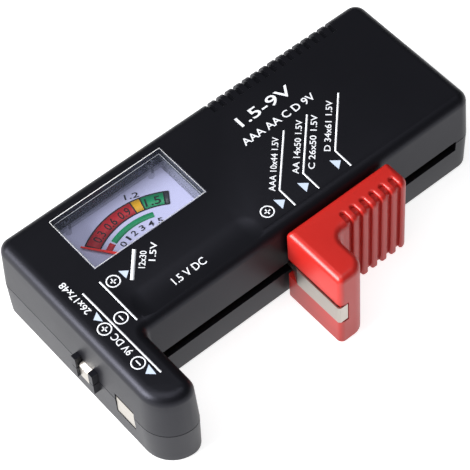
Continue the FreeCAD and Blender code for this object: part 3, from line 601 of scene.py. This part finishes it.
lettering("dial_figures", [
    ("1.2", (32.4, 34.6), (35.5, 33.2), 1.5),
    ("0.3", *chord(FIGURES_MM, 116.5, 107.5), 2.2),
    ("0.6", *chord(FIGURES_MM, 104.5, 95.5), 2.2),
    ("0.9", *chord(FIGURES_MM, 92.5, 83.5), 2.2),
    ("1.5", *chord(FIGURES_MM, 72.8, 61.6), 2.2),
    ("0", *chord(SMALL_FIGURES_MM, 112.0, 106.5), 1.5),
    ("1", *chord(SMALL_FIGURES_MM, 102.6, 100.4), 1.5),
    ("2", *chord(SMALL_FIGURES_MM, 96.5, 91.5), 1.5),
    ("3", *chord(SMALL_FIGURES_MM, 87.5, 82.5), 1.5),
    ("4", *chord(SMALL_FIGURES_MM, 78.5, 73.0), 1.5),
    ("5", *chord(SMALL_FIGURES_MM, 69.0, 64.0), 1.5),
], lambda x, y: DIAL_MM + FIGURE_RISE_MM, FIGURE_THICK_MM, dial_inks["black"], "case")

# Sprayed red stays bright against the card, with a thin coat's even gloss.
pointer_red, tree, shader = finish_named("sprayed aluminium, red", "#ef2a20", 0.35, IOR=1.5)
grain(tree, shader, 0.25, 0.01, 0.3, 3.0, (0.3, 0.42))
coat(pointer_red, "pointer")

# ---- Circuit ------------------------------------------------------------------------
# A brown paper-phenolic board with three resistors soldered in, wired to the contacts with
# PVC-covered wire. The resistors' value is painted on as rings.

# Pressed paper board is dull, with streaks along the sheet.
board_brown, tree, shader = finish_named("paper phenolic board", "#7a5730", 0.55, IOR=1.6)
grain(tree, shader, 0.8, 0.02, 0.3, 5.0, (0.48, 0.62), stretch=(0.3, 1.0, 1.0))
coat(board_brown, "terminal_board")

# Extruded PVC is soft and waxy. Red wires are the plus side, black the minus side.
for name, colour, wires in (
        ("red", "#a3161a", ("wire_nine_plus", "wire_rail", "wire_meter_high")),
        ("black", "#121214", ("wire_nine_minus", "wire_arm", "wire_meter_low"))):
    pvc, tree, shader = finish_named("PVC insulation, " + name, colour, 0.42, IOR=1.53)
    grain(tree, shader, 0.5, 0.02, 0.25, 4.0, (0.36, 0.5))
    coat(pvc, *wires)

LACQUER_TAN, LEAD_GREY = "#b79b72", "#c9c7c0"
BROWN, BLACK, ORANGE, GREEN, BLUE, GOLD = ("#7a3b12", "#111111", "#b5431b", "#1d6f3a", "#1f3f9c",
                                           "#b58a2a")
RESISTOR_MIDDLE_MM, LEAD_SHOWN_MM = 71.0, 1.0
# Shares of the span from the end of one lead to the end of the other.
LEAD_SHARE, RING_FIRST, RING_PITCH, RING_WIDE = 0.03, 0.2, 0.15, 0.07
RINGS = {
    "cell_load_resistor": (5.5, (BROWN, BLACK, BLACK, GOLD)),
    "block_load_resistor": (5.5, (ORANGE, ORANGE, BROWN, GOLD)),
    "meter_resistor": (3.2, (GREEN, BLUE, ORANGE, GOLD)),
}
# Baked lacquer with painted rings, bare tinned lead at both ends of the span.
for name, (half_mm, colours) in RINGS.items():
    lacquer, tree, shader = finish_named("resistor lacquer, " + name, LACQUER_TAN, 0.4, IOR=1.5)
    place = add(tree, "ShaderNodeTexCoord")
    apart = add(tree, "ShaderNodeSeparateXYZ", {"Vector": place.outputs["Object"]})
    middle = at(RESISTOR_MIDDLE_MM, 0, 0).x
    reach = (half_mm + LEAD_SHOWN_MM) / 1000
    span = add(tree, "ShaderNodeMapRange", {"Value": apart.outputs["X"]},
               From_Min=middle - reach, From_Max=middle + reach)
    ramp = add(tree, "ShaderNodeValToRGB", {"Fac": span.outputs["Result"]})
    stops = ramp.color_ramp
    stops.interpolation = "CONSTANT"
    stops.elements[0].color = linear(LEAD_GREY)
    stops.elements[1].position = 1 - LEAD_SHARE
    stops.elements[1].color = linear(LEAD_GREY)
    bands = [(LEAD_SHARE, LACQUER_TAN)]
    for i, colour in enumerate(colours):
        start = RING_FIRST + RING_PITCH * i
        bands += [(start, colour), (start + RING_WIDE, LACQUER_TAN)]
    for spot, colour in bands:
        stops.elements.new(spot).color = linear(colour)
    tree.links.new(ramp.outputs["Color"], shader.inputs["Base Color"])
    grain(tree, shader, 0.4, 0.02, 0.2)
    coat(lacquer, name)

# Each lead and wire end is soldered through the board with a small bright cone.
LEAD_COLUMNS_MM, LEAD_ROWS_MM, SOLDER_LEVEL_MM = (62.5, 79.5), (19, 23, 27), 5.2
SOLDER_FOOT_MM, SOLDER_TIP_MM, SOLDER_HIGH_MM = 0.9, 0.3, 0.9
solder, tree, shader = finish_named("tin solder", "#c8cacc", 0.22, Metallic=1.0)
grain(tree, shader, 0.5, 0.02, 0.3, 1.0, (0.16, 0.34))
joint_tree, joint_sockets = node_group(
    "solder_joints", {"Places": "Geometry", "Foot radius": "Float", "Height": "Float",
                      "Solder": "Material"}, "Joints")
given = add(joint_tree, "NodeGroupInput").outputs
cone = add(joint_tree, "GeometryNodeMeshCone",
           {"Radius Bottom": given["Foot radius"], "Depth": given["Height"]}, Vertices=14,
           Side_Segments=3, Radius_Top=SOLDER_TIP_MM / 1000)
placed = add(joint_tree, "GeometryNodeInstanceOnPoints",
             {"Points": given["Places"], "Instance": cone.outputs["Mesh"]})
real = add(joint_tree, "GeometryNodeRealizeInstances", {"Geometry": placed.outputs["Instances"]})
tinned = add(joint_tree, "GeometryNodeSetMaterial",
             {"Geometry": real.outputs["Geometry"], "Material": given["Solder"]})
add(joint_tree, "NodeGroupOutput", {"Joints": tinned.outputs["Geometry"]})
mesh = bpy.data.meshes.new("places")
mesh.from_pydata([at(x, y, SOLDER_LEVEL_MM) for x in LEAD_COLUMNS_MM for y in LEAD_ROWS_MM],
                 [], [])
grown("solder_joints", mesh, joint_tree, joint_sockets,
      {"Foot radius": SOLDER_FOOT_MM / 1000, "Height": SOLDER_HIGH_MM / 1000, "Solder": solder},
      "case")

# ---- Floor and light ----------------------------------------------------------------
# A sweep of white paper lit from below as on a product table, with one broad lamp at the
# contact end, so that the end wall is bright and the face stays dark.
FLOOR_HALF_M = 2
PAPER_GLOW, WORLD_GLOW = 0.75, 0.12
paper, tree, shader = finish_named("seamless white paper", "#c4c4c4", 0.85, IOR=1.45)
shader.inputs["Emission Color"].default_value = linear("#ffffff")
shader.inputs["Emission Strength"].default_value = PAPER_GLOW
grain(tree, shader, 1.5, 0.02, 0.1)
mesh = bpy.data.meshes.new("floor")
mesh.from_pydata([(x * FLOOR_HALF_M, y * FLOOR_HALF_M, 0)
                  for x, y in ((-1, -1), (1, -1), (1, 1), (-1, 1))], [], [(0, 1, 2, 3)])
floor = bpy.data.objects.new("floor", mesh)
mesh.materials.append(paper)
bpy.context.scene.collection.objects.link(floor)

world = bpy.data.worlds.new("studio")
bpy.context.scene.world = world
world.use_nodes = True
background = world.node_tree.nodes["Background"]
background.inputs["Color"].default_value = linear("#e3e8f2")
background.inputs["Strength"].default_value = WORLD_GLOW


def softbox(name, position, width, watts):
    """Square lamp aimed at the middle of the table."""
    light = bpy.data.lights.new(name, "AREA")
    light.size = width
    light.energy = watts
    lamp = bpy.data.objects.new(name, light)
    lamp.location = position
    lamp.rotation_euler = (-Vector(position)).to_track_quat("-Z", "Y").to_euler()
    bpy.context.scene.collection.objects.link(lamp)


softbox("end_lamp", (-1.0, 0.3, 0.5), 0.6, 28)
softbox("top_lamp", (-0.2, -0.1, 1.2), 1.0, 8)
bpy.context.scene.view_settings.view_transform = "Standard"
